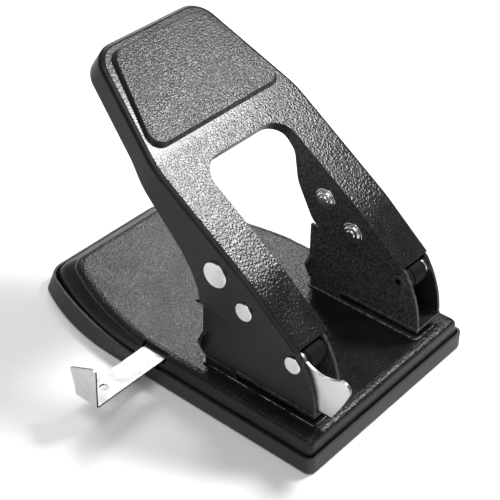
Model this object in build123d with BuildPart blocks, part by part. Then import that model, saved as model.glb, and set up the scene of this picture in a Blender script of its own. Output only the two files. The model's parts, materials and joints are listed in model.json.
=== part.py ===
from build123d import *
import os
from math import asin, cos, radians, sin, sqrt, tan

# Two-hole desk punch, in millimetres. The origin is on the table, midway between the punch axes.
# +X is the right side, +Y the rear and +Z up. The handle stands at the top of its travel.

os.makedirs("parts", exist_ok=True)

SIDES = {"left": -1, "right": 1}
FAR = 160.0                 # past every end of the punch, for cutting right through

# ------------------------------------------------------------------ driving dimensions
HOLE_SPACING = 80.0         # between the two punched holes
HOLE_RADIUS = 3.0           # punched hole
PAPER_GAP = 4.3             # height of the slot that takes the paper
PAPER_STOP = 11.5           # closed end of the slot, behind the punch axis
FIT = 0.06                  # radial running clearance
GAP = 0.3                   # clearance between bodies that pass each other

# Tray and chip flap
TRAY_HALF_WIDTH = 61.5
TRAY_FRONT = -43.5
TRAY_REAR = 147.4
TRAY_HEIGHT = 9.3
TRAY_FLOOR = 1.6
TRAY_LIP = 1.4              # thin wall that stands round the plate
TRAY_WALL = 2.6             # thicker wall below it, whose top carries the plate
TRAY_TAPER_START = (85.0, 58.0)     # where the straight sides begin to curve in: underside, rim
TRAY_TAPER_RADIUS = (125.0, 215.0)
TRAY_FRONT_CORNER = 4.0
TRAY_REAR_CORNER = (6.0, 13.5)
TRAY_EDGE = 1.0             # rounding round the underside
SEAM_Y = 80.9               # between the tray and its chip flap

# Base plate: each pair is the value at the foot of the skirt and at the flat top
PLATE_FOOT = 7.0
PLATE_TOP = 17.5
PLATE_SHEET = 1.5
PLATE_EDGE = (4.6, 2.4)     # width and height of the rounding round the flat top
PLATE_HALF_WIDTH = (59.6, 58.6)
PLATE_FRONT = (-41.6, -41.0)
PLATE_REAR = (145.6, 137.0)
PLATE_TAPER_START = (62.0, 45.0)
PLATE_TAPER_RADIUS = (180.0, 190.0)
PLATE_FRONT_CORNER = (3.0, 2.6)
PLATE_REAR_CORNER = (10.0, 12.0)
SKIRT_POWER = 2.2           # how the skirt curves in: 1 would be straight
PLATE_UNDERSIDE = PLATE_TOP - PLATE_SHEET
CHIP_HOLE_RADIUS = 4.5
NOTCH_Y = (47.9, 64.3)      # the paper guide's notches in the left and right edges
NOTCH_X = 55.6              # inner end of each notch, from the middle
GUIDE_WINDOW = (-16.5, 63.6)
GUIDE_WINDOW_SIZE = (1.5, 4.4)

# Brackets
BRACKET_X = HOLE_SPACING / 2
BRACKET_SHEET = 1.5
BRACKET_HALF = 9.5          # half of the outside width
BRACKET_FRONT = -35.3
BRACKET_REAR = 31.8
BRACKET_HEIGHT = 55.8       # rear part of the walls, from the table
BRACKET_BOSS = 8.0          # radius of the walls round the handle's pivot
BRACKET_BEND = 1.0          # outer rounding between the walls and the floor
LEDGE = (0.5, 0.2)          # the floor stands out this far at its sides and front, beside the paper slot
WALL_INNER = BRACKET_HALF - BRACKET_SHEET
OUTER_FACE = BRACKET_X + BRACKET_HALF
INNER_FACE = BRACKET_X - BRACKET_HALF
DIE_THICKNESS = 1.0
DIE_MARGIN = 0.4            # the die plate stands this far out at the bracket's ends
DIE_LEDGE = 0.5             # and at its sides
DIE_CORNER = 1.5
DIE_TOP = PLATE_TOP + DIE_THICKNESS
FLOOR_BOTTOM = DIE_TOP + PAPER_GAP
FLOOR_TOP = FLOOR_BOTTOM + BRACKET_SHEET
SPACER_REAR = 31.4
SPACER_CORNER = 2.0
BUSH_RADIUS = 5.0           # in the bracket's floor
BUSH_FLANGE_RADIUS = 6.2
BUSH_TOP = FLOOR_TOP + 2.7
RIVET_Y = (16.5, 25.5)
RIVET_RADIUS = 2.0
RIVET_HEAD_RADIUS = 3.6
RIVET_HEAD = 1.6
RIVET_TAIL = 1.2

# Handle
HANDLE_SHEET = 1.2
HANDLE_HALF = OUTER_FACE + GAP + HANDLE_SHEET
WINDOW_HALF = INNER_FACE - GAP - HANDLE_SHEET
KNEE = (1.5, 77.4)          # (y, z) where the legs turn down from the flat top
KNEE_RADIUS = 90.0
TOP_SLOPE = 33.56           # degrees
LEG_SLOPE = 39.0
LEG_END_Y = -24.5
LEG_FOOT = 53.4             # height of the legs' lower edge
LEG_CORNER = (LEG_END_Y + 1.2, LEG_FOOT + 0.9)
TOP_LENGTH = 131.7          # from the knee up to the free end
TOP_TAPER_START = 69.7      # along the flat top, from the knee
END_HALF = 35.6
END_CORNER = 14.2
BEND_RADIUS = 2.6           # outer rounding between the top and the flanges
FLANGE_DEPTH = 12.7         # outer flange beside the pad, square to the top
WINDOW_TOP = 60.4           # along the flat top, from the knee
WINDOW_CORNER = 12.0
WINDOW_WALL = 5.2           # depth of the wall across the top of the window
WALL_SKIN = 0.4             # the window's walls start this far inside the top sheet
PAD_FRONT = 74.9            # along the flat top, from the knee
PAD_REAR = 126.9
PAD_FRONT_HALF = 46.6
PAD_REAR_HALF = 30.6
PAD_HEIGHT = 2.2
PAD_FLANK = 1.8             # the pad's sides lean in by this much
PAD_ROOT = 0.5              # the pad starts this far below the top surface
HANDLE_TRAVEL = 45.0        # degrees

# Pivots, as (y, z)
PIVOT = (5.4, 63.6)         # handle on the brackets
DRIVE = (22.5, 75.8)        # pin that the handle carries over the pressure levers
LEVER = (-22.0, 47.1)       # pressure levers on the brackets
PIVOT_RADIUS = 3.0
DRIVE_RADIUS = 3.5
LEVER_PIN_RADIUS = 3.0
PIN_BORE = 2.0              # hollow in the inner end of the lever pivots
PIN_BORE_DEPTH = 3.0
HEAD_GAP = 0.1              # under the heads of the handle's pivots

# Pressure levers
LEVER_TURN = 17.87          # degrees that a pressure lever turns for the whole handle travel
LEVER_HALF = 4.0            # half the lever's thickness
LEVER_EYE = 6.4             # radius of the lever round its pivot
HUB_RADIUS = 6.0
HUB_HALF = 5.3
TRACK_GAP = 0.15            # between the drive pin and the lever's upper edge
NOSE_REACH = 22.0           # lever pivot to nose centre
NOSE_ANGLE = 8.95           # degrees above level
NOSE_RADIUS = 4.0
NOSE_GAP = 0.1
WASHER_RADIUS = 5.5

# Lock lever: a flat plate inside the left bracket's outer wall
LOCK_INNER = 5.8            # from the bracket's middle to the plate
LOCK_SHEET = 1.5
LOCK_X = -(BRACKET_X + LOCK_INNER)
LOCK_FOOT = 26.6            # lower edge of the flat plate
LOCK_EYE = 6.0
TONGUE_Y = (-42.7, -35.9)   # tongue bent in below the plate, against the bracket floor's front edge
TONGUE_TIP = 22.9
TONGUE_CORNER = 2.4

# Punches
NOSE = (LEVER[0] + NOSE_REACH * cos(radians(NOSE_ANGLE)), LEVER[1] + NOSE_REACH * sin(radians(NOSE_ANGLE)))
PUNCH_TOP = NOSE[1] - NOSE_RADIUS - NOSE_GAP
PUNCH_TIP = FLOOR_BOTTOM + 0.6
PUNCH_NOTCH = (2.2, 1.6)    # half width and height of the notch across the cutting end
CAP_RADIUS = 5.6
CAP_HEIGHT = 2.6
CAP_DROP = 0.4              # top of the cap below the top of the pin
CAP_EDGE = 0.6
SPRING_WIRE = 0.55          # radius
SPRING_RADIUS = 4.4
SPRING_TURNS = 6
SPRING_SEAT = 0.05          # clearance at each end of the spring

# Paper guide
GUIDE_Y = 56.4
GUIDE_WIDTH = 14.0
GUIDE_SHEET = 1.0
GUIDE_BOTTOM = 13.7
GUIDE_TOP = GUIDE_BOTTOM + GUIDE_SHEET
GUIDE_OUTER = -103.0
GUIDE_END = 76.0            # plain end of the strip, past the right edge
GUIDE_CORNER = 2.0
GUIDE_BEND = 1.6
GUIDE_FRONT = GUIDE_Y - GUIDE_WIDTH / 2
GUIDE_REAR = GUIDE_Y + GUIDE_WIDTH / 2
TAB_ROOT = 18.0             # height where the turned-up tab begins to widen
GUIDE_HOLE = (GUIDE_OUTER + 12.0, GUIDE_Y + 0.6)
GUIDE_HOLE_RADIUS = 2.2
CHANNEL_SHEET = 0.8
CHANNEL_X = (-52.0, 52.0)
CHANNEL_FLANGE = 5.4
CHANNEL_BOTTOM = GUIDE_BOTTOM - GAP - CHANNEL_SHEET
LEAF_SHEET = 0.4
LEAF_HALF_WIDTH = 4.0
LEAF_X = (-40.0, -36.0, -28.0, -20.0, -16.0)    # end, bend, contact, bend, end


# ------------------------------------------------------------------ shared shapes
def rounded_shape(*corners):
    """Closed flat shape through (point, corner radius) pairs."""
    points = [point for point, radius in corners]
    radii = [radius for point, radius in corners]
    with BuildSketch(Plane.XY) as shape:
        with BuildLine():
            FilletPolyline(*points, radius=radii, close=True)
        make_face()
    return shape.sketch


def base_outline(half_width, front, rear, taper_start, taper_radius, front_corner, rear_corner):
    """Plan of the base: straight sides that curve in towards a narrower rear edge."""
    centre_x = half_width - taper_radius
    sweep = asin((rear - taper_start) / taper_radius)
    rear_x = centre_x + taper_radius * cos(sweep)
    middle = (centre_x + taper_radius * cos(sweep / 2), taper_start + taper_radius * sin(sweep / 2))
    with BuildSketch(Plane.XY) as shape:
        with BuildLine():
            Line((-half_width, front), (half_width, front))
            Line((half_width, front), (half_width, taper_start))
            ThreePointArc((half_width, taper_start), middle, (rear_x, rear))
            Line((rear_x, rear), (-rear_x, rear))
            ThreePointArc((-rear_x, rear), (-middle[0], middle[1]), (-half_width, taper_start))
            Line((-half_width, taper_start), (-half_width, front))
        make_face()
        fillet(shape.vertices().group_by(Axis.Y)[0], radius=front_corner)
        fillet(shape.vertices().group_by(Axis.Y)[-1], radius=rear_corner)
    return shape.sketch


def between(pair, part_way):
    """Value part of the way from the first of a pair to the second."""
    return pair[0] + (pair[1] - pair[0]) * part_way


def tray_outline(part_way, inset):
    """Plan of the tray from its underside (part_way 0) to its rim (part_way 1), moved in by inset."""
    return base_outline(
        TRAY_HALF_WIDTH - inset,
        TRAY_FRONT + inset,
        TRAY_REAR - inset,
        between(TRAY_TAPER_START, part_way),
        between(TRAY_TAPER_RADIUS, part_way) - inset,
        TRAY_FRONT_CORNER - inset,
        between(TRAY_REAR_CORNER, part_way) - inset,
    )


def plate_outline(part_way, inset):
    """Plan of the plate from its foot (part_way 0) to its flat top (part_way 1), moved in by inset."""
    return base_outline(
        between(PLATE_HALF_WIDTH, part_way) - inset,
        between(PLATE_FRONT, part_way) + inset,
        between(PLATE_REAR, part_way) - inset,
        between(PLATE_TAPER_START, part_way),
        between(PLATE_TAPER_RADIUS, part_way) - inset,
        between(PLATE_FRONT_CORNER, part_way) - inset / 4,
        between(PLATE_REAR_CORNER, part_way) - inset / 4,
    )


def save(piece, node):
    """Label a finished piece and write it."""
    piece.part.label = node
    export_step(piece.part, f"parts/{node}.step")


def turned(point, centre, degrees_down):
    """A (y, z) point after a turn about centre that lowers what lies behind it."""
    angle = radians(degrees_down)
    y, z = point[0] - centre[0], point[1] - centre[1]
    return (centre[0] + y * cos(angle) + z * sin(angle), centre[1] - y * sin(angle) + z * cos(angle))


# ------------------------------------------------------------------ tray and chip flap
def tray_block(inset, z_from, z_to):
    """Solid with the tray's outline moved in by inset, between two heights."""
    with BuildPart() as block:
        for z in (z_from, z_to):
            with BuildSketch(Plane.XY.offset(z)):
                add(tray_outline(z / TRAY_HEIGHT, inset))
        loft(ruled=True)
    return block.part


def tub(ledge, y_from, y_to):
    """Stretch of the plastic tub between two y values. Its inner ledge stands at the height ledge."""
    with BuildPart() as piece:
        with BuildSketch():
            add(tray_outline(0, TRAY_EDGE))
        with BuildSketch(Plane.XY.offset(TRAY_EDGE)):
            add(tray_outline(TRAY_EDGE / TRAY_HEIGHT, 0))
        loft(ruled=True)
        add(tray_block(0, TRAY_EDGE, TRAY_HEIGHT))
        add(tray_block(TRAY_WALL, TRAY_FLOOR, TRAY_HEIGHT + 1), mode=Mode.SUBTRACT)
        add(tray_block(TRAY_LIP, ledge, TRAY_HEIGHT + 1), mode=Mode.SUBTRACT)
        with BuildSketch():
            with Locations((0, (y_from + y_to) / 2)):
                Rectangle(2 * TRAY_HALF_WIDTH + 2, y_to - y_from)
        extrude(amount=TRAY_HEIGHT, mode=Mode.INTERSECT)
    return piece


chip_tray = tub(PLATE_FOOT, TRAY_FRONT - 1, SEAM_Y - GAP / 2)
save(chip_tray, "chip_tray")

chip_flap = tub(PLATE_FOOT - GAP, SEAM_Y + GAP / 2, TRAY_REAR + 1)
save(chip_flap, "chip_flap")


# ------------------------------------------------------------------ base plate
def plate_block(inset, drop):
    """Solid block with the plate's domed shape, moved in by inset and down by drop."""
    foot = PLATE_FOOT - drop
    edge_width, edge_height = PLATE_EDGE
    brow = PLATE_TOP - edge_height - drop
    with BuildPart() as block:
        for rise in (0, 0.35, 0.7, 1):
            with BuildSketch(Plane.XY.offset(foot + (brow - foot) * rise)):
                add(plate_outline(rise**SKIRT_POWER, inset))
        loft()
        for angle in (0, 35, 65, 90):
            with BuildSketch(Plane.XY.offset(brow + edge_height * sin(radians(angle)))):
                add(plate_outline(1, inset + edge_width * (1 - cos(radians(angle)))))
        loft()
    return block.part


with BuildPart() as base_plate:
    add(plate_block(0, 0))
    add(plate_block(PLATE_SHEET, PLATE_SHEET), mode=Mode.SUBTRACT)
    with BuildSketch(Plane.XY.offset(PLATE_TOP)):
        with Locations((-BRACKET_X, 0), (BRACKET_X, 0)):
            Circle(CHIP_HOLE_RADIUS)
        for y in RIVET_Y:
            with Locations((-BRACKET_X, y), (BRACKET_X, y)):
                Circle(RIVET_RADIUS)
        with Locations(GUIDE_WINDOW):
            Rectangle(*GUIDE_WINDOW_SIZE)
    extrude(amount=-PLATE_SHEET, both=True, mode=Mode.SUBTRACT)
    with BuildSketch(Plane.XY.offset(GUIDE_BOTTOM - 1)):
        for sign in SIDES.values():
            with Locations((sign * (NOTCH_X + TRAY_HALF_WIDTH) / 2, sum(NOTCH_Y) / 2)):
                Rectangle(TRAY_HALF_WIDTH - NOTCH_X, NOTCH_Y[1] - NOTCH_Y[0])
    extrude(amount=PLATE_TOP, mode=Mode.SUBTRACT)
save(base_plate, "base_plate")


# ------------------------------------------------------------------ punching heads: fixed pieces
def bracket_side():
    """Side view of a bracket's walls, as (y, z)."""
    shoulder = (PIVOT[0], PIVOT[1] + BRACKET_BOSS)
    over_start, over_end = radians(30), radians(-40)
    with BuildSketch(Plane.XY) as shape:
        with BuildLine():
            front = ThreePointArc((BRACKET_FRONT, 26.0), (-32.4, 40.2), (-25.2, 54.0))
            slope = Line(front @ 1, (-6.4, 69.0))
            Line(slope @ 1, shoulder)
            over = ThreePointArc(
                shoulder,
                (PIVOT[0] + BRACKET_BOSS * cos(over_start), PIVOT[1] + BRACKET_BOSS * sin(over_start)),
                (PIVOT[0] + BRACKET_BOSS * cos(over_end), PIVOT[1] + BRACKET_BOSS * sin(over_end)),
            )
            Polyline(
                over @ 1,
                (18.0, BRACKET_HEIGHT),
                (BRACKET_REAR, BRACKET_HEIGHT),
                (BRACKET_REAR, FLOOR_BOTTOM),
                (BRACKET_FRONT, FLOOR_BOTTOM),
                front @ 0,
            )
        make_face()
    return shape.sketch


def ear(outward):
    """Small ear bent out from a wall's rear edge, as (x, z) from the wall's face."""
    return rounded_shape(
        ((-outward, 25.6), 0),
        ((outward * 1.2, 26.2), 0.5),
        ((outward * 4.2, 33.4), 1.6),
        ((-outward, 38.4), 0),
    )


def throat_outline():
    """Plan of the spacer that closes the paper slot's rear end."""
    return rounded_shape(
        ((-BRACKET_HALF, PAPER_STOP), 0),
        ((BRACKET_HALF, PAPER_STOP), 0),
        ((BRACKET_HALF, SPACER_REAR), SPACER_CORNER),
        ((-BRACKET_HALF, SPACER_REAR), SPACER_CORNER),
    )


ledge_front = BRACKET_FRONT - LEDGE[1]
die_length = BRACKET_REAR - BRACKET_FRONT + 2 * DIE_MARGIN

for side, sign in SIDES.items():
    centre_x = sign * BRACKET_X

    with BuildPart() as bracket:
        with BuildSketch(Plane.YZ.offset(centre_x)):
            add(bracket_side())
        extrude(amount=BRACKET_HALF, both=True)
        fillet(bracket.faces().sort_by(Axis.Z)[0].edges().filter_by(Axis.Y), radius=BRACKET_BEND)
        with BuildSketch(Plane.XY.offset(FLOOR_TOP)):
            with Locations((centre_x, 0)):
                Rectangle(2 * WALL_INNER, FAR)
        extrude(amount=FAR, mode=Mode.SUBTRACT)
        with BuildSketch(Plane.XY.offset(FLOOR_BOTTOM)):
            with Locations((centre_x, (ledge_front + PAPER_STOP) / 2)):
                Rectangle(2 * (BRACKET_HALF + LEDGE[0]), PAPER_STOP - ledge_front)
        extrude(amount=BRACKET_SHEET)
        with BuildSketch(Plane.XZ.offset(-BRACKET_REAR)):
            with Locations((centre_x + BRACKET_HALF, 0)):
                add(ear(1))
            with Locations((centre_x - BRACKET_HALF, 0)):
                add(ear(-1))
        extrude(amount=BRACKET_SHEET)
        with BuildSketch(Plane.YZ.offset(centre_x)):
            with Locations(PIVOT):
                Circle(PIVOT_RADIUS)
            with Locations(LEVER):
                Circle(LEVER_PIN_RADIUS)
        extrude(amount=BRACKET_HALF, both=True, mode=Mode.SUBTRACT)
        with BuildSketch(Plane.XY.offset(FLOOR_BOTTOM)):
            with Locations((centre_x, 0)):
                Circle(BUSH_RADIUS)
            for y in RIVET_Y:
                with Locations((centre_x, y)):
                    Circle(RIVET_RADIUS)
        extrude(amount=BRACKET_SHEET, mode=Mode.SUBTRACT)
    save(bracket, f"bracket_{side}")

    with BuildPart() as die_plate:
        with BuildSketch(Plane.XY.offset(PLATE_TOP)):
            with Locations((centre_x, (BRACKET_REAR + BRACKET_FRONT) / 2)):
                RectangleRounded(2 * (BRACKET_HALF + DIE_LEDGE), die_length, DIE_CORNER)
            with Locations((centre_x, 0)):
                Circle(HOLE_RADIUS + FIT, mode=Mode.SUBTRACT)
            for y in RIVET_Y:
                with Locations((centre_x, y)):
                    Circle(RIVET_RADIUS, mode=Mode.SUBTRACT)
        extrude(amount=DIE_THICKNESS)
    save(die_plate, f"die_plate_{side}")

    with BuildPart() as throat_spacer:
        with BuildSketch(Plane.XY.offset(DIE_TOP)):
            with Locations((centre_x, 0)):
                add(throat_outline())
            for y in RIVET_Y:
                with Locations((centre_x, y)):
                    Circle(RIVET_RADIUS, mode=Mode.SUBTRACT)
        extrude(amount=PAPER_GAP)
    save(throat_spacer, f"throat_spacer_{side}")

    with BuildPart() as punch_bush:
        with BuildSketch(Plane.XY.offset(FLOOR_BOTTOM)):
            with Locations((centre_x, 0)):
                Circle(BUSH_RADIUS)
        extrude(amount=BRACKET_SHEET)
        with BuildSketch(Plane.XY.offset(FLOOR_TOP)):
            with Locations((centre_x, 0)):
                Circle(BUSH_FLANGE_RADIUS)
        extrude(amount=BUSH_TOP - FLOOR_TOP)
        with BuildSketch(Plane.XY.offset(FLOOR_BOTTOM)):
            with Locations((centre_x, 0)):
                Circle(HOLE_RADIUS + FIT)
        extrude(amount=BUSH_TOP - FLOOR_BOTTOM, mode=Mode.SUBTRACT)
    save(punch_bush, f"punch_bush_{side}")

with BuildPart() as base_rivets:
    for sign in SIDES.values():
        for y in RIVET_Y:
            with BuildSketch(Plane.XY.offset(PLATE_UNDERSIDE)):
                with Locations((sign * BRACKET_X, y)):
                    Circle(RIVET_RADIUS)
            extrude(amount=FLOOR_TOP - PLATE_UNDERSIDE)
            with BuildSketch(Plane.XY.offset(FLOOR_TOP)):
                with Locations((sign * BRACKET_X, y)):
                    Circle(RIVET_HEAD_RADIUS)
            extrude(amount=RIVET_HEAD)
            with BuildSketch(Plane.XY.offset(PLATE_UNDERSIDE)):
                with Locations((sign * BRACKET_X, y)):
                    Circle(RIVET_HEAD_RADIUS)
            extrude(amount=-RIVET_TAIL)
    fillet(base_rivets.edges().filter_by(GeomType.CIRCLE).group_by(Axis.Z)[-1], radius=1.0)
save(base_rivets, "base_rivets")


# ------------------------------------------------------------------ punches, caps and springs
for side, sign in SIDES.items():
    centre_x = sign * BRACKET_X

    with BuildPart() as punch_pin:
        with BuildSketch(Plane.XY.offset(PUNCH_TIP)):
            with Locations((centre_x, 0)):
                Circle(HOLE_RADIUS)
        extrude(amount=PUNCH_TOP - PUNCH_TIP)
        with BuildSketch(Plane.XZ):
            with Locations((centre_x, PUNCH_TIP)):
                Polygon((-PUNCH_NOTCH[0], 0), (PUNCH_NOTCH[0], 0), (0, PUNCH_NOTCH[1]), align=None)
        extrude(amount=HOLE_RADIUS, both=True, mode=Mode.SUBTRACT)
    save(punch_pin, f"punch_pin_{side}")

    cap_top = PUNCH_TOP - CAP_DROP
    with BuildPart() as punch_cap:
        with BuildSketch(Plane.XY.offset(cap_top)):
            with Locations((centre_x, 0)):
                Circle(CAP_RADIUS)
        extrude(amount=-CAP_HEIGHT)
        fillet(punch_cap.edges().group_by(Axis.Z)[-1], radius=CAP_EDGE)
        with BuildSketch(Plane.XY.offset(cap_top)):
            with Locations((centre_x, 0)):
                Circle(HOLE_RADIUS)
        extrude(amount=-CAP_HEIGHT, mode=Mode.SUBTRACT)
    save(punch_cap, f"punch_cap_{side}")

    spring_from = BUSH_TOP + SPRING_WIRE + SPRING_SEAT
    spring_to = cap_top - CAP_HEIGHT - SPRING_WIRE - SPRING_SEAT
    spring_height = spring_to - spring_from
    with BuildPart() as return_spring:
        with BuildLine(Plane(origin=(centre_x, 0, spring_from))) as coil:
            Helix(pitch=spring_height / SPRING_TURNS, height=spring_height, radius=SPRING_RADIUS)
        with BuildSketch(Plane(origin=coil.line @ 0, z_dir=coil.line % 0)):
            Circle(SPRING_WIRE)
        sweep()
    save(return_spring, f"return_spring_{side}")


# ------------------------------------------------------------------ pressure levers
# In the lever's own frame the drive pin's centre runs along a nearly straight line, from DRIVE to
# this point. The lever's upper edge lies parallel to it, one pin radius below.
drive_end = turned(turned(DRIVE, PIVOT, HANDLE_TRAVEL), LEVER, -LEVER_TURN)
track_slope = (DRIVE[1] - drive_end[1]) / (DRIVE[0] - drive_end[0])
track_drop = (DRIVE_RADIUS + TRACK_GAP) * sqrt(1 + track_slope**2)


def track_point(y):
    """(y, z) on the lever's upper edge where the drive pin bears on it."""
    return (y, DRIVE[1] - track_drop + (y - DRIVE[0]) * track_slope)


def pressure_lever_side():
    """Side view of a pressure lever, as (y, z)."""
    with BuildSketch(Plane.XY) as shape:
        add(rounded_shape(
            ((LEVER[0], LEVER[1] + LEVER_EYE), 0),
            ((1.0, 57.4), 6),
            ((13.0, 60.4), 4),
            (track_point(18.6), 1.5),
            (track_point(28.2), 1.5),
            ((30.6, 69.5), 3),
            ((4.4, 49.0), 1),
            ((NOSE[0], NOSE[1] - 2.5), 0),
            ((-7.4, 48.0), 1),
            ((LEVER[0] + 2.0, LEVER[1] - 6.0), 0),
        ))
        with Locations(NOSE):
            Circle(NOSE_RADIUS)
        with Locations(LEVER):
            Circle(LEVER_EYE)
            Circle(LEVER_PIN_RADIUS + FIT, mode=Mode.SUBTRACT)
    return shape.sketch


for side, sign in SIDES.items():
    with BuildPart() as pressure_lever:
        with BuildSketch(Plane.YZ.offset(sign * BRACKET_X)):
            add(pressure_lever_side())
        extrude(amount=LEVER_HALF, both=True)
        with BuildSketch(Plane.YZ.offset(sign * (BRACKET_X + HUB_HALF))):
            with Locations(LEVER):
                Circle(HUB_RADIUS)
                Circle(LEVER_PIN_RADIUS + FIT, mode=Mode.SUBTRACT)
        extrude(amount=-sign * (HUB_HALF + WALL_INNER - GAP))
    save(pressure_lever, f"pressure_lever_{side}")

with BuildPart() as lever_washer:
    with BuildSketch(Plane.YZ.offset(BRACKET_X + LOCK_INNER)):
        with Locations(LEVER):
            Circle(WASHER_RADIUS)
            Circle(LEVER_PIN_RADIUS, mode=Mode.SUBTRACT)
    extrude(amount=WALL_INNER - LOCK_INNER)
save(lever_washer, "lever_washer_right")


# ------------------------------------------------------------------ pins and rivets
def rivet(sign, centre, steps):
    """Round piece along X at a (y, z) centre, from (start x, end x, radius, end rounding) steps."""
    with BuildPart() as piece:
        for start, end, radius, rounding in steps:
            with BuildSketch(Plane.YZ.offset(sign * start)):
                with Locations(centre):
                    Circle(radius)
            extrude(amount=sign * (end - start))
            if rounding:
                rim = piece.edges().filter_by(GeomType.CIRCLE)
                rim = rim.filter_by(lambda edge: abs(edge.center().X - sign * end) < FIT)
                fillet(rim.sort_by(SortBy.RADIUS)[-1], radius=rounding)
    return piece.part


def domed_head(face):
    """Steps of a washer, a rounded collar and a button that stand inwards from a leg's inner face."""
    washer = face - 0.7
    collar = washer - 1.1
    return ((face, washer, 5.8, 0.3), (washer, collar, 4.4, 0.9), (collar, collar - 0.6, 2.4, 0.5))


for side, sign in SIDES.items():
    pivot_outer = HANDLE_HALF + HEAD_GAP
    pivot_inner = WINDOW_HALF - HEAD_GAP
    with BuildPart() as handle_pivot_pin:
        add(rivet(sign, PIVOT, (
            (pivot_inner, pivot_outer, PIVOT_RADIUS, 0),
            (pivot_outer, pivot_outer + 1.1, 4.7, 0.4),
            *domed_head(pivot_inner),
        )))
    save(handle_pivot_pin, f"handle_pivot_pin_{side}")

    with BuildPart() as drive_pin:
        add(rivet(sign, DRIVE, (
            (WINDOW_HALF, HANDLE_HALF, DRIVE_RADIUS, 0),
            (HANDLE_HALF, HANDLE_HALF + 1.2, 6.6, 0.4),
            *domed_head(WINDOW_HALF),
        )))
    save(drive_pin, f"drive_pin_{side}")

    bore_mouth = INNER_FACE - 0.8
    with BuildPart() as lever_pivot_pin:
        add(rivet(sign, LEVER, (
            (INNER_FACE, OUTER_FACE, LEVER_PIN_RADIUS, 0),
            (OUTER_FACE, OUTER_FACE + 1.1, 4.4, 0.4),
            (INNER_FACE, bore_mouth, 4.0, 0.5),
        )))
        with BuildSketch(Plane.YZ.offset(sign * bore_mouth)):
            with Locations(LEVER):
                Circle(PIN_BORE)
        extrude(amount=sign * PIN_BORE_DEPTH, mode=Mode.SUBTRACT)
    save(lever_pivot_pin, f"lever_pivot_pin_{side}")


# ------------------------------------------------------------------ lock lever
def tongue_side():
    """The tongue seen along Y, as (x, z): it leans in from the plate's lower edge."""
    with BuildSketch(Plane.XY) as shape:
        Polygon(
            (LOCK_X - LOCK_SHEET, LOCK_FOOT + 1.0),
            (LOCK_X - LOCK_SHEET, LOCK_FOOT),
            (LOCK_X + 1.0, TONGUE_TIP),
            (LOCK_X + 2.0, TONGUE_TIP + 0.8),
            (LOCK_X, LOCK_FOOT),
            (LOCK_X, LOCK_FOOT + 1.0),
            align=None,
        )
    return shape.sketch


def tongue_face():
    """The tongue seen along X, as (y, z), with its lower corners rounded."""
    front, rear = TONGUE_Y
    return rounded_shape(
        ((front, LOCK_FOOT + 1.0), 0),
        ((front, TONGUE_TIP), TONGUE_CORNER),
        ((rear, TONGUE_TIP), TONGUE_CORNER),
        ((rear, LOCK_FOOT + 1.0), 0),
    )


with BuildPart() as lock_tongue:
    with BuildSketch(Plane.XZ.offset(-TONGUE_Y[1])):
        add(tongue_side())
    extrude(amount=TONGUE_Y[1] - TONGUE_Y[0])
    with BuildSketch(Plane.YZ.offset(LOCK_X)):
        add(tongue_face())
    extrude(amount=2 * LOCK_SHEET, both=True, mode=Mode.INTERSECT)

with BuildPart() as lock_lever:
    with BuildSketch(Plane.YZ.offset(LOCK_X)):
        with BuildLine():
            neck = ThreePointArc((-23.4, 53.0), (-29.6, 48.8), (-37.4, 47.2))
            rise = ThreePointArc(neck @ 1, (-42.2, 48.2), (-46.4, 50.1))
            lobe = ThreePointArc(rise @ 1, (-50.5, 49.1), (-51.6, 44.8))
            front = ThreePointArc(lobe @ 1, (-48.1, 36.6), (-42.8, LOCK_FOOT))
            Polyline(front @ 1, (-36.0, LOCK_FOOT), (-30.0, 33.0), (-17.5, 43.0), neck @ 0)
        make_face()
        with Locations(LEVER):
            Circle(LOCK_EYE)
            Circle(LEVER_PIN_RADIUS + FIT, mode=Mode.SUBTRACT)
    extrude(amount=-LOCK_SHEET)
    add(lock_tongue.part)
save(lock_lever, "lock_lever")


# ------------------------------------------------------------------ handle
TOP_PLANE = Plane(
    origin=(0, *KNEE),
    x_dir=(1, 0, 0),
    z_dir=(0, -sin(radians(TOP_SLOPE)), cos(radians(TOP_SLOPE))),
)


def surface_point(y, drop):
    """(y, z) on the handle's top surface lowered square to itself by drop, on its leg or its flat top."""
    slope = radians(LEG_SLOPE if y < KNEE[0] else TOP_SLOPE)
    return (y, KNEE[1] + (y - KNEE[0]) * tan(slope) - drop / cos(slope))


def knee_point(drop):
    """Where the lowered leg and the lowered flat top meet."""
    top, leg = radians(TOP_SLOPE), radians(LEG_SLOPE)
    shift = drop * (1 / cos(leg) - 1 / cos(top)) / (tan(leg) - tan(top))
    return (KNEE[0] + shift, KNEE[1] + shift * tan(top) - drop / cos(top))


def handle_plan(inset):
    """Plan of the handle in its top plane, moved in by inset."""
    half, end_half, end = HANDLE_HALF - inset, END_HALF - inset, TOP_LENGTH - inset
    return rounded_shape(
        ((-half, -FAR), 0),
        ((half, -FAR), 0),
        ((half, TOP_TAPER_START), 50),
        ((end_half, end), END_CORNER - inset),
        ((-end_half, end), END_CORNER - inset),
        ((-half, TOP_TAPER_START), 50),
    )


def pad_plan(inset):
    """Plan of the raised palm pad."""
    front_half, rear_half = PAD_FRONT_HALF - inset, PAD_REAR_HALF - inset
    front, rear = PAD_FRONT + inset, PAD_REAR - inset
    return rounded_shape(
        ((-front_half, front), 6.5),
        ((front_half, front), 6.5),
        ((rear_half, rear), 8.5),
        ((-rear_half, rear), 8.5),
    )


def window_plan(outset):
    """Plan of the gap between the legs, closed at the top, in the top plane."""
    half, top, corner = WINDOW_HALF + outset, WINDOW_TOP + outset, WINDOW_CORNER + outset
    return rounded_shape(((-half, -FAR), 0), ((half, -FAR), 0), ((half, top), corner), ((-half, top), corner))


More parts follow.
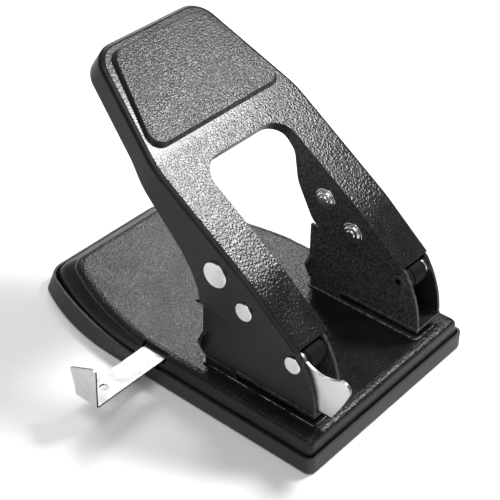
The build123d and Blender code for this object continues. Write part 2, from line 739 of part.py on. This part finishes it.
def outer_side():
    """Side view of the handle's whole outside: its top surface and its outer flange."""
    return rounded_shape(
        (surface_point(LEG_END_Y, 0), 0),
        (KNEE, KNEE_RADIUS),
        (surface_point(FAR, 0), 0),
        (surface_point(FAR, FLANGE_DEPTH), 0),
        (surface_point(75.0, FLANGE_DEPTH), 40),
        ((44.0, 79.3), 8),
        ((37.8, 70.8), 12),
        ((33.4, 61.0), 12),
        ((32.3, LEG_FOOT), 3.5),
        ((-19.5, LEG_FOOT), 3),
        (LEG_CORNER, 0),
    )


def hollow_side():
    """Side view of everything below the handle's top sheet."""
    return rounded_shape(
        (surface_point(-FAR, HANDLE_SHEET), 0),
        (knee_point(HANDLE_SHEET), KNEE_RADIUS - HANDLE_SHEET),
        (surface_point(FAR, HANDLE_SHEET), 0),
        ((FAR, -FAR), 0),
        ((-FAR, -FAR), 0),
    )


def window_wall_side():
    """Side view of the walls round the gap between the legs."""
    past_window = 70.0
    return rounded_shape(
        (surface_point(LEG_END_Y, WALL_SKIN), 0),
        (knee_point(WALL_SKIN), KNEE_RADIUS - WALL_SKIN),
        (surface_point(past_window, WALL_SKIN), 0),
        (surface_point(past_window, WINDOW_WALL), 0),
        (surface_point(49.5, 6.0), 6),
        ((42.6, 94.5), 8),
        ((40.0, 78.5), 20),
        ((29.5, 59.0), 12),
        ((16.0, LEG_FOOT), 12),
        ((-19.5, LEG_FOOT), 3),
        (LEG_CORNER, 0),
    )


with BuildPart() as window_wall:
    with BuildSketch(Plane.YZ):
        add(window_wall_side())
    extrude(amount=HANDLE_HALF, both=True)
    with BuildSketch(TOP_PLANE):
        add(window_plan(HANDLE_SHEET))
    extrude(amount=FAR, both=True, mode=Mode.INTERSECT)

with BuildPart() as handle_hollow:
    with BuildSketch(Plane.YZ):
        add(hollow_side())
    extrude(amount=HANDLE_HALF, both=True)
    with BuildSketch(TOP_PLANE):
        add(handle_plan(HANDLE_SHEET))
    extrude(amount=FAR, both=True, mode=Mode.INTERSECT)
    with BuildSketch(TOP_PLANE.offset(-HANDLE_SHEET - PAD_ROOT)):
        add(pad_plan(1.0))
    with BuildSketch(TOP_PLANE.offset(PAD_HEIGHT - HANDLE_SHEET)):
        add(pad_plan(1.0 + PAD_FLANK))
    loft()

with BuildPart() as handle:
    with BuildSketch(Plane.YZ):
        add(outer_side())
    extrude(amount=FAR, both=True)
    with BuildSketch(TOP_PLANE):
        add(handle_plan(0))
    extrude(amount=FAR, both=True, mode=Mode.INTERSECT)
    top_faces = handle.faces().filter_by(lambda face: face.normal_at().dot(TOP_PLANE.z_dir) > 0.98)
    rim = top_faces.edges().filter_by(lambda edge: edge.center().Y > LEG_END_Y + 1 and abs(edge.center().X) > 5)
    end_edge = top_faces.edges().sort_by(Axis.Y)[-1]
    fillet(rim + [end_edge], radius=BEND_RADIUS)
    with BuildSketch(TOP_PLANE.offset(-PAD_ROOT)):
        add(pad_plan(0))
    with BuildSketch(TOP_PLANE.offset(PAD_HEIGHT)):
        add(pad_plan(PAD_FLANK))
    loft()
    add(handle_hollow.part, mode=Mode.SUBTRACT)
    add(window_wall.part)
    with BuildSketch(TOP_PLANE):
        add(window_plan(0))
    extrude(amount=FAR, both=True, mode=Mode.SUBTRACT)
    with BuildSketch(Plane.YZ):
        with Locations(PIVOT):
            Circle(PIVOT_RADIUS + FIT)
        with Locations(DRIVE):
            Circle(DRIVE_RADIUS)
    extrude(amount=FAR, both=True, mode=Mode.SUBTRACT)
save(handle, "handle")


# ------------------------------------------------------------------ paper guide
with BuildPart() as paper_guide:
    with BuildSketch(Plane.XZ.offset(-GUIDE_REAR)):
        with BuildLine():
            FilletPolyline(
                (GUIDE_END, GUIDE_BOTTOM),
                (GUIDE_OUTER, GUIDE_BOTTOM),
                (GUIDE_OUTER, TAB_ROOT),
                (GUIDE_OUTER + GUIDE_SHEET, TAB_ROOT),
                (GUIDE_OUTER + GUIDE_SHEET, GUIDE_TOP),
                (GUIDE_END, GUIDE_TOP),
                radius=(0, GUIDE_BEND, 0, 0, GUIDE_BEND - GUIDE_SHEET, 0),
                close=True,
            )
        make_face()
    extrude(amount=GUIDE_WIDTH)
    fillet(paper_guide.edges().filter_by(Axis.Z).group_by(Axis.X)[-1], radius=GUIDE_CORNER)
    with BuildSketch(Plane.YZ.offset(GUIDE_OUTER)):
        add(rounded_shape(
            ((GUIDE_FRONT, TAB_ROOT), 0),
            ((GUIDE_FRONT - 0.4, 35.8), 0.8),
            ((GUIDE_FRONT + 1.6, 36.8), 0.8),
            ((GUIDE_REAR + 2.6, 29.8), 0.8),
            ((GUIDE_REAR, TAB_ROOT), 0),
        ))
    extrude(amount=GUIDE_SHEET)
    with BuildSketch(Plane.XY.offset(GUIDE_BOTTOM)):
        with Locations(GUIDE_HOLE):
            Circle(GUIDE_HOLE_RADIUS)
    extrude(amount=GUIDE_SHEET, mode=Mode.SUBTRACT)
save(paper_guide, "paper_guide")


def channel_section():
    """Section of the guide's channel, as (y, z): a trough with two flanges under the plate."""
    wall_inner = GUIDE_WIDTH / 2 + GAP
    wall_outer = wall_inner + CHANNEL_SHEET
    flange_bottom = PLATE_UNDERSIDE - CHANNEL_SHEET
    flange_end = wall_inner + CHANNEL_FLANGE
    floor_top = CHANNEL_BOTTOM + CHANNEL_SHEET
    half = (
        (0, floor_top),
        (wall_inner, floor_top),
        (wall_inner, PLATE_UNDERSIDE),
        (flange_end, PLATE_UNDERSIDE),
        (flange_end, flange_bottom),
        (wall_outer, flange_bottom),
        (wall_outer, CHANNEL_BOTTOM),
        (0, CHANNEL_BOTTOM),
    )
    with BuildSketch(Plane.XY) as shape:
        Polygon(*half, align=None)
        mirror(about=Plane.YZ)
    return shape.sketch


with BuildPart() as guide_channel:
    with BuildSketch(Plane.YZ.offset(CHANNEL_X[0])):
        with Locations((GUIDE_Y, 0)):
            add(channel_section())
    extrude(amount=CHANNEL_X[1] - CHANNEL_X[0])
save(guide_channel, "guide_channel")

leaf_heights = (PLATE_UNDERSIDE, PLATE_UNDERSIDE, GUIDE_TOP + GAP + LEAF_SHEET, PLATE_UNDERSIDE, PLATE_UNDERSIDE)
leaf_upper = [(x, z) for x, z in zip(LEAF_X, leaf_heights)]
leaf_lower = [(x, z - LEAF_SHEET) for x, z in leaf_upper]

with BuildPart() as guide_spring:
    with BuildSketch(Plane.XZ.offset(-GUIDE_Y)):
        Polygon(*leaf_upper, *reversed(leaf_lower), align=None)
    extrude(amount=LEAF_HALF_WIDTH, both=True)
save(guide_spring, "guide_spring")
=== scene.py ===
import json
from math import cos, pi, radians, sin

import bpy
from mathutils import Matrix, Vector


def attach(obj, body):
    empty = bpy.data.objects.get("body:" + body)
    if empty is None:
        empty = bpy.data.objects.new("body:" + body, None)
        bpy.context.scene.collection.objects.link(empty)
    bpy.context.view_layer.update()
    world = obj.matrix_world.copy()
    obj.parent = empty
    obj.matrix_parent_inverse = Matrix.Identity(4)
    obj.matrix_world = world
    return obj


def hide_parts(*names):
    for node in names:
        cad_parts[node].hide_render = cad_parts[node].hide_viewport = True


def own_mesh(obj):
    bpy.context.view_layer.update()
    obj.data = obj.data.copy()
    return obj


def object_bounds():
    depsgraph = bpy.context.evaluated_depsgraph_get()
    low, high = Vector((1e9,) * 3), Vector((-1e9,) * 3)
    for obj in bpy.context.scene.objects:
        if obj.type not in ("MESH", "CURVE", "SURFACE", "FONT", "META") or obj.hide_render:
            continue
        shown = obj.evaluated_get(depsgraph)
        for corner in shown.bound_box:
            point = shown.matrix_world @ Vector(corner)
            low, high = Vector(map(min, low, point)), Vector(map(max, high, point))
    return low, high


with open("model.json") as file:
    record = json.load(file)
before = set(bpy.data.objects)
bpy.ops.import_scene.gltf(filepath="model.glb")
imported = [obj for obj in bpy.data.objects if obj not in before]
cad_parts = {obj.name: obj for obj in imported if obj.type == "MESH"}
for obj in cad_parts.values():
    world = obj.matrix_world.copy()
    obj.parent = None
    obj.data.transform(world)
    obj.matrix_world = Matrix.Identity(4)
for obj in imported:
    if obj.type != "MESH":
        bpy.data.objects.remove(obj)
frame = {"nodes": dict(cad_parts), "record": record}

# Desk punch: finishes, floor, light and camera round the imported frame. Metres, in the frame's axes.

CAD_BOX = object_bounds()
MM = 0.001

# ------------------------------------------------------------------ where the object's regions lie
HANDLE_SLOPE = radians(33.56)                       # the handle's flat top above level
LEG_SLOPE = radians(39.0)
KNEE = Vector((0, 1.5, 77.4)) * MM                  # where the legs turn down from the flat top
TOP_NORMAL = Vector((0, -sin(HANDLE_SLOPE), cos(HANDLE_SLOPE)))
LEG_NORMAL = Vector((0, -sin(LEG_SLOPE), cos(LEG_SLOPE)))
SHEET_NORMAL = (TOP_NORMAL + LEG_NORMAL).normalized()
PAD_FOOT = TOP_NORMAL.dot(KNEE)                     # height of the flat top along its own normal
UP_HANDLE = Vector((0, cos(HANDLE_SLOPE), sin(HANDLE_SLOPE)))
PAD_FRONT = UP_HANDLE.dot(KNEE) + 74.9 * MM         # where the palm pad starts, along the flat top

# Distances from the punch's middle plane, each as the two ends of a soft step.
HANDLE_GAP = (31.5 * MM, 30.5 * MM)                 # the handle's walls round the gap between its legs
BRACKET_GAP = (34.0 * MM, 31.0 * MM)                # the brackets' walls that face each other
RIVET_HEAD = (40.0 * MM, 41.0 * MM)                 # a rivet's outer head
LEVER_PIN_HEAD = (49.4 * MM, 49.6 * MM)             # a lever pin's outer head
LEVER_PIN_EYE = (31.5 * MM, 31.0 * MM)              # and its open inner end
TONGUE_TOP = (26.2 * MM, 27.2 * MM)                 # height at which the lock lever's tongue ends

# Ends of a soft step from a surface that faces aside to one that faces squarely along a direction.
FLAT_SHEET = (0.965, 0.992)
WALL_TO_TOP = (0.5, 0.7)
LEG_END = (0.93, 0.98)
PLATE_CROWN = (0.35, 0.60)


# ------------------------------------------------------------------ node graphs
class Finish:
    """A procedural material, built up from small named steps."""

    def __init__(self, name, **shader):
        self.material = bpy.data.materials.new(name)
        self.material.use_nodes = True
        self.tree = self.material.node_tree
        self.shader = self.tree.nodes["Principled BSDF"]
        for socket, value in shader.items():
            self.shader.inputs[socket.replace("_", " ")].default_value = value
        place = self.node("ShaderNodeTexCoord")
        self.place = place.outputs["Object"]
        self.facing = place.outputs["Normal"]

    def node(self, kind, inputs=None, **settings):
        """A node with some of its settings and inputs given. An input is a value or another node's output."""
        made = self.tree.nodes.new(kind)
        for name, value in settings.items():
            setattr(made, name, value)
        for key, value in (inputs or {}).items():
            if isinstance(value, bpy.types.NodeSocket):
                self.tree.links.new(value, made.inputs[key])
            else:
                made.inputs[key].default_value = value
        return made

    def math(self, operation, *values):
        inputs = dict(enumerate(values))
        return self.node("ShaderNodeMath", inputs, operation=operation).outputs[0]

    def remap(self, value, low, high, to_low=0.0, to_high=1.0):
        """value from low..high to to_low..to_high, eased and kept within them."""
        inputs = {"Value": value, "From Min": low, "From Max": high, "To Min": to_low, "To Max": to_high}
        return self.node("ShaderNodeMapRange", inputs, interpolation_type="SMOOTHSTEP").outputs["Result"]

    def mix(self, part, first, second):
        """Number part of the way from first to second."""
        return self.node("ShaderNodeMix", {0: part, 2: first, 3: second}, data_type="FLOAT").outputs[0]

    def tint(self, part, first, second):
        """Colour part of the way from first to second."""
        inputs = {0: part, 6: first, 7: second}
        return self.node("ShaderNodeMix", inputs, data_type="RGBA").outputs[2]

    def stretched(self, along):
        """Object coordinates squeezed by a factor along each axis."""
        return self.node("ShaderNodeMapping", {"Vector": self.place, "Scale": along}).outputs["Vector"]

    def noise(self, size, detail=2.0, roughness=0.5, place=None, distortion=0.0):
        """Cloudy pattern whose blots are about this many millimetres across."""
        inputs = {
            "Vector": place or self.place,
            "Scale": 1 / (size * MM),
            "Detail": detail,
            "Roughness": roughness,
            "Distortion": distortion,
        }
        return self.node("ShaderNodeTexNoise", inputs, noise_dimensions="3D").outputs["Fac"]

    def leather(self, size):
        """Height, about 0 to 1, of a leather grain whose pebbles are this many millimetres across."""
        folds = self.remap(self.noise(size, detail=1.5, roughness=0.45, distortion=0.25), 0.36, 0.62)
        cells = self.node(
            "ShaderNodeTexVoronoi",
            {"Vector": self.place, "Scale": 0.9 / (size * MM), "Smoothness": 0.6},
            feature="SMOOTH_F1",
        ).outputs["Distance"]
        pebbles = self.remap(cells, 0.1, 0.7, 1.0, 0.0)
        pores = self.noise(0.4 * size, detail=1.0)
        height = self.math("ADD", self.math("MULTIPLY", folds, 0.6), self.math("MULTIPLY", pebbles, 0.35))
        return self.math("ADD", height, self.math("MULTIPLY", pores, 0.25))

    def across(self, axis):
        """One object coordinate: 0 for x, 1 for y, 2 for z."""
        return self.node("ShaderNodeSeparateXYZ", {0: self.place}).outputs[axis]

    def dot(self, first, second):
        """Dot product of two vectors."""
        inputs = {0: first, 1: second}
        return self.node("ShaderNodeVectorMath", inputs, operation="DOT_PRODUCT").outputs["Value"]

    def towards(self, direction, start, end):
        """1 where the surface faces a direction (dot product above end), 0 where it faces away."""
        return self.remap(self.dot(self.facing, direction), start, end)

    def facing_along(self, axis):
        """How squarely the surface faces along an object axis, either way: 0 to 1."""
        return self.math("ABSOLUTE", self.node("ShaderNodeSeparateXYZ", {0: self.facing}).outputs[axis])

    def measure(self, direction):
        """Distance from the origin along a direction."""
        return self.dot(self.place, direction)

    def bevel(self, radius):
        """Shading normal with the edges rounded by this many millimetres."""
        return self.node("ShaderNodeBevel", {"Radius": radius * MM}, samples=6).outputs[0]

    def edges(self, rounded, strength):
        """1 along the rounded edges, broken up here and there."""
        true = self.node("ShaderNodeNewGeometry").outputs["True Normal"]
        rim = self.remap(self.dot(rounded, true), 0.995, 0.86)
        patches = self.remap(self.noise(3.0, detail=3), 0.38, 0.62)
        return self.math("MULTIPLY", self.math("MULTIPLY", rim, patches), strength)

    def bumped(self, height, distance, strength=1.0, normal=None):
        """Normal of a surface whose height varies by this many millimetres."""
        inputs = {"Height": height, "Distance": distance * MM, "Strength": strength, "Filter Width": 0.4}
        if normal is not None:
            inputs["Normal"] = normal
        return self.node("ShaderNodeBump", inputs).outputs[0]

    def finish(self, colour, roughness, normal):
        self.tree.links.new(colour, self.shader.inputs["Base Color"])
        self.tree.links.new(roughness, self.shader.inputs["Roughness"])
        self.tree.links.new(normal, self.shader.inputs["Normal"])
        return self.material


def grey(value, warmth=0.0):
    """Opaque grey. A little warmth turns it towards yellow."""
    return (value * (1 + warmth), value, value * (1 - warmth), 1.0)


# ------------------------------------------------------------------ enamelled steel
def enamel(name, black, grain_depth, gloss, coat, edge_wear_and_glint=0.5, edge_wear_and_glint_grey=0.12):
    """Black enamel with lighter edges, partly rubbed bare and partly painted highlight lines, and painted
    shade in the grain's dips.

    grain_depth is in millimetres. gloss is the roughness where the grain lies and elsewhere. coat gives where
    the grain lies, its pattern, its relief, and where the paint is duller and carries a painted sheen, its
    pebbles' tops painted lighter.
    """
    paint = Finish(name, IOR=1.5, Specular_IOR_Level=0.26)
    mask, grain, relief, dull_with_painted_sheen = coat(paint)
    fine = paint.noise(0.35, detail=2)
    orange_peel = paint.noise(2.2, detail=1)
    rounded = paint.bevel(0.35)
    height = paint.mix(mask, paint.math("MULTIPLY", orange_peel, 0.10), paint.math("MULTIPLY", grain, relief))
    coarse = paint.bumped(height, grain_depth, normal=rounded)
    normal = paint.bumped(fine, 0.005, normal=coarse)
    mottle = paint.noise(14.0, detail=4)
    # Painted shade: the grain's dips are painted darker.
    painted_hollow_shade = paint.math("MULTIPLY", mask, paint.remap(grain, 0.55, 0.25))
    shade = paint.tint(paint.remap(mottle, 0.3, 0.7), grey(black * 0.8), grey(black * 1.25))
    # Painted sheen: on those walls the pebbles' tops are painted lighter, standing in for light the lamps
    # barely give there.
    painted_sheen = paint.tint(paint.remap(grain, 0.3, 1.0), grey(black * 3), grey(black * 8))
    shade = paint.tint(dull_with_painted_sheen, shade, painted_sheen)
    shade = paint.tint(paint.math("MULTIPLY", painted_hollow_shade, 0.35), shade, grey(black * 0.3))
    # The lighter edge colour is partly rubbed-bare paint and partly a painted highlight line.
    shade = paint.tint(paint.edges(rounded, edge_wear_and_glint), shade, grey(edge_wear_and_glint_grey))
    roughness = paint.mix(mask, gloss[1], gloss[0])
    roughness = paint.math("ADD", roughness, paint.math("MULTIPLY", dull_with_painted_sheen, 0.15))
    roughness = paint.math("ADD", roughness, paint.remap(mottle, 0.3, 0.7, -0.03, 0.03))
    roughness = paint.math("ADD", roughness, paint.remap(fine, 0.3, 0.7, -0.03, 0.03))
    return paint.finish(shade, roughness, normal)


def handle_coat(paint):
    """Grain on the handle's top sheet, finer on its pad, and on the walls round the gap between its legs."""
    top = paint.towards(SHEET_NORMAL, *FLAT_SHEET)
    aside = paint.math("ABSOLUTE", paint.across(0))
    walls = paint.math("SUBTRACT", 1.0, paint.towards(SHEET_NORMAL, *WALL_TO_TOP))
    inner = paint.math("MULTIPLY", paint.remap(aside, *HANDLE_GAP), paint.math("MULTIPLY", walls, 0.6))
    pad = paint.remap(paint.measure(TOP_NORMAL), PAD_FOOT + 1.0 * MM, PAD_FOOT + 1.6 * MM)
    beside_pad = paint.remap(paint.measure(UP_HANDLE), PAD_FRONT - 8 * MM, PAD_FRONT + 2 * MM)
    leg_end = paint.towards((0, -1, 0), *LEG_END)
    grain = paint.mix(pad, paint.leather(1.15), paint.leather(0.95))
    relief = paint.mix(pad, paint.mix(beside_pad, paint.mix(inner, 1.0, 5.0), 0.3), 1.6)
    # Where the paint is duller and, in the enamel, carries the painted sheen: the walls round the gap, the
    # legs' cut ends and, a little, the pad.
    dull_and_painted_sheen = paint.math("MAXIMUM", paint.math("MAXIMUM", inner, leg_end), paint.math("MULTIPLY", pad, 0.3))
    return paint.math("MAXIMUM", top, inner), grain, relief, dull_and_painted_sheen


def bracket_coat(paint):
    """Grain on the walls that face each other across the punch; the same walls are duller and carry a painted
    sheen.
    """
    aside = paint.math("ABSOLUTE", paint.across(0))
    inner = paint.math("MULTIPLY", paint.remap(aside, *BRACKET_GAP), 0.8)
    return inner, paint.leather(1.1), 4.0, inner


def plate_coat(paint):
    """Grain on the plate's flat top and over its rounded edge."""
    return paint.towards((0, 0, 1), *PLATE_CROWN), paint.leather(1.05), 1.0, 0.0


# ------------------------------------------------------------------ metals
def metal(name, shade, roughness, brushed=None, brush_depth=0.004, warmth=0.0, edge=0.3, cover=None):
    """Plated steel with fine scratches, cloudy variation and lighter edges."""
    steel = Finish(name, Metallic=1.0)
    fine = steel.noise(0.12, detail=2, place=steel.stretched(brushed) if brushed else None)
    cloud = steel.noise(5.0, detail=4)
    lengthwise = steel.stretched((1.0, 0.12, 0.4))
    scratches = steel.noise(0.5, detail=4, roughness=0.7, place=lengthwise, distortion=0.6)
    marks = steel.remap(scratches, 0.60, 0.68)
    rounded = steel.bevel(edge)
    normal = steel.bumped(fine, brush_depth, normal=rounded)
    colour = steel.tint(steel.remap(cloud, 0.3, 0.7), grey(shade * 0.96, warmth), grey(shade * 1.02, warmth))
    colour = steel.tint(steel.math("MULTIPLY", marks, 0.35), colour, grey(shade * 0.7, warmth))
    colour = steel.tint(steel.edges(rounded, 0.5), colour, grey(shade * 0.85))
    rough = steel.math("ADD", steel.remap(cloud, 0.3, 0.7, roughness - 0.04, roughness + 0.05),
                       steel.remap(fine, 0.3, 0.7, -0.03, 0.03))
    if cover:
        colour, rough = cover(steel, colour, rough)
    return steel.finish(colour, rough, normal)


def pin_ends(steel, colour, rough):
    """The pins' heads are satin outside the legs and bright between them."""
    aside = steel.math("ABSOLUTE", steel.across(0))
    outer = steel.remap(aside, *RIVET_HEAD)
    return colour, steel.mix(outer, 0.14, rough)


def shade_painted_inside_brackets(steel, colour, rough):
    """The lever pins are satin outside, carry a painted shade inside the brackets, near black there, and are
    dark grey at their inner ends.
    """
    aside = steel.math("ABSOLUTE", steel.across(0))
    outer = steel.remap(aside, *LEVER_PIN_HEAD)
    # Painted shade: between the bracket walls the pins are painted near black.
    painted_shade_and_dark_end = steel.tint(steel.remap(aside, *LEVER_PIN_EYE), grey(0.02), grey(0.12))
    return steel.tint(outer, painted_shade_and_dark_end, colour), steel.mix(outer, 0.6, rough)


def shade_painted_on_tongue(steel, colour, rough):
    """The lock lever's tongue, below its flat plate, is painted near black, a painted shade, and its sheared
    edges are dark.
    """
    colour = steel.tint(steel.remap(steel.facing_along(0), 0.8, 0.5), colour, grey(0.22))
    # Painted shade: below the tongue's top the zinc is painted near black.
    return steel.tint(steel.remap(steel.across(2), *TONGUE_TOP), grey(0.06), colour), rough


def dark_sides_painted_shade_top(steel, colour, rough):
    """The guide's long sides are sheared and dark, and its top is matt from paper rubbing and painted darker,
    a painted shade that tones down the rear lamp's reflection.
    """
    top = steel.remap(steel.facing_along(2), 0.7, 0.9)
    # Painted shade: the top is painted darker than the rest of the guide.
    colour = steel.tint(top, colour, grey(0.33))
    colour = steel.tint(steel.remap(steel.facing_along(1), 0.5, 0.8), colour, grey(0.12))
    return colour, steel.math("ADD", rough, steel.math("MULTIPLY", top, 0.12))


def moulded_plastic():
    """Matt black plastic with a fine spark-eroded grain."""
    plastic = Finish("tray_moulding", IOR=1.47, Specular_IOR_Level=0.45)
    grain = plastic.noise(0.5, detail=3)
    cloud = plastic.noise(18.0, detail=4)
    rounded = plastic.bevel(0.5)
    normal = plastic.bumped(grain, 0.05, normal=rounded)
    colour = plastic.tint(plastic.remap(cloud, 0.3, 0.7), grey(0.016), grey(0.026))
    colour = plastic.tint(plastic.edges(rounded, 0.5), colour, grey(0.10))
    rough = plastic.remap(cloud, 0.3, 0.7, 0.46, 0.56)
    return plastic.finish(colour, rough, normal)


FINISHES = {
    "handle_paint": enamel("handle_enamel", 0.010, 0.085, (0.22, 0.36), handle_coat, edge_wear_and_glint_grey=0.2),
    "plate_paint": enamel("plate_enamel", 0.010, 0.13, (0.30, 0.30), plate_coat, edge_wear_and_glint=0.15),
    # The brackets' lighter edges are partly rubbed paint and partly painted highlight lines.
    "bracket_paint": enamel("bracket_enamel", 0.010, 0.09, (0.42, 0.34), bracket_coat, edge_wear_and_glint=0.7, edge_wear_and_glint_grey=0.3),
    "tray_plastic": moulded_plastic(),
    "guide_steel": metal(
        "guide_bright_steel", 0.66, 0.28, brushed=(0.08, 1.0, 1.0), edge=0.1, cover=dark_sides_painted_shade_top
    ),
    "lever_steel": metal("lever_matt_zinc", 0.84, 0.42, edge=0.1, cover=shade_painted_on_tongue),
    "lever_black": metal("blackened_steel", 0.02, 0.72),
    "rivet_nickel": metal("rivet_nickel_plate", 0.82, 0.20, warmth=0.01, cover=pin_ends),
    "spring_steel": metal("spring_wire", 0.5, 0.3, edge=0.1),
    "tool_steel": metal("ground_tool_steel", 0.35, 0.35, brushed=(1.0, 1.0, 0.1)),
    "zinc_steel": metal("zinc_plate", 0.5, 0.42),
}
LEVER_PIN = metal("lever_pin_nickel", 0.82, 0.22, warmth=0.01, cover=shade_painted_inside_brackets)
# The die plate's near-white edges are partly bare steel and partly painted highlight lines.
DIE_PLATE = enamel("die_plate_enamel", 0.012, 0.05, (0.4, 0.30), bracket_coat, edge_wear_and_glint=1.0, edge_wear_and_glint_grey=0.9)
for part in frame["record"]["subparts"]:
    node = part["node"]
    finish = FINISHES[part["material_slot"]]
    if node.startswith("lever_pivot_pin"):
        finish = LEVER_PIN
    if node.startswith("die_plate"):
        finish = DIE_PLATE
    for slot in frame["nodes"][node].material_slots:
        slot.material = finish


for side in ("left", "right"):
    coil = frame["nodes"][f"return_spring_{side}"]
    spring = bpy.data.objects.new(f"coil_{side}", coil.data.copy())
    bpy.context.scene.collection.objects.link(spring)
    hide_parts(f"return_spring_{side}")
    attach(spring, "base")
    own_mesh(spring)


# ------------------------------------------------------------------ floor, light and camera
FLOOR_SIDE = 12.0


def floor():
    paper = Finish("pale_floor", Roughness=0.8, Specular_IOR_Level=0.2)
    cloud = paper.noise(60.0, detail=3)
    grain = paper.noise(0.6, detail=2)
    colour = paper.tint(cloud, grey(0.90), grey(0.93))
    material = paper.finish(colour, paper.remap(cloud, 0.3, 0.7, 0.75, 0.85), paper.bumped(grain, 0.02))
    bpy.ops.mesh.primitive_plane_add(size=FLOOR_SIDE, location=(0, 0, CAD_BOX[0][2]))
    sheet = bpy.context.object
    sheet.name = "floor"
    sheet.data.materials.append(material)


def softbox(name, direction, distance, size, radiance):
    """Square lamp that faces the object. direction points from the object to it, and size is its side."""
    lamp = bpy.data.lights.new(name, "AREA")
    lamp.shape = "RECTANGLE"
    lamp.size = lamp.size_y = size
    lamp.energy = radiance * pi * size * size
    holder = bpy.data.objects.new(name, lamp)
    away = Vector(direction).normalized()
    holder.location = TARGET + away * distance
    holder.rotation_euler = away.to_track_quat("Z", "Y").to_euler()
    bpy.context.scene.collection.objects.link(holder)


TARGET = Vector((0, 0.04, 0.06))                    # the lamps point here
WORLD_LIGHT = 0.25

floor()
softbox("key", (0.53, -0.27, 0.80), distance=0.75, size=0.17, radiance=62.0)
softbox("rear_fill", (0.58, 0.56, 0.60), distance=1.20, size=0.45, radiance=10.0)
softbox("overhead", (-0.30, -0.12, 0.94), distance=1.10, size=0.5, radiance=4.5)
softbox("left_fill", (-0.75, -0.35, 0.55), distance=1.00, size=0.35, radiance=3.0)

world = bpy.data.worlds.new("studio")
world.use_nodes = True
sky = world.node_tree.nodes["Background"].inputs
sky["Color"].default_value = (1, 1, 1, 1)
sky["Strength"].default_value = WORLD_LIGHT
bpy.context.scene.world = world
bpy.context.scene.view_settings.view_transform = "Standard"

CAMERA_PLACE = Vector((-0.421115, -0.303931, 0.456716))
CAMERA_AIM = Vector((0.617584, 0.512260, -0.596808))
CAMERA_ROLL = radians(1.186)
LENS = 100.43
SENSOR = 36.0

camera_data = bpy.data.cameras.new("camera")
camera_data.lens = LENS
camera_data.sensor_width = SENSOR
camera = bpy.data.objects.new("camera", camera_data)
aim = CAMERA_AIM.to_track_quat("-Z", "Y").to_matrix().to_4x4()
camera.matrix_world = Matrix.Translation(CAMERA_PLACE) @ aim @ Matrix.Rotation(CAMERA_ROLL, 4, "Z")
bpy.context.scene.collection.objects.link(camera)
bpy.context.scene.camera = camera
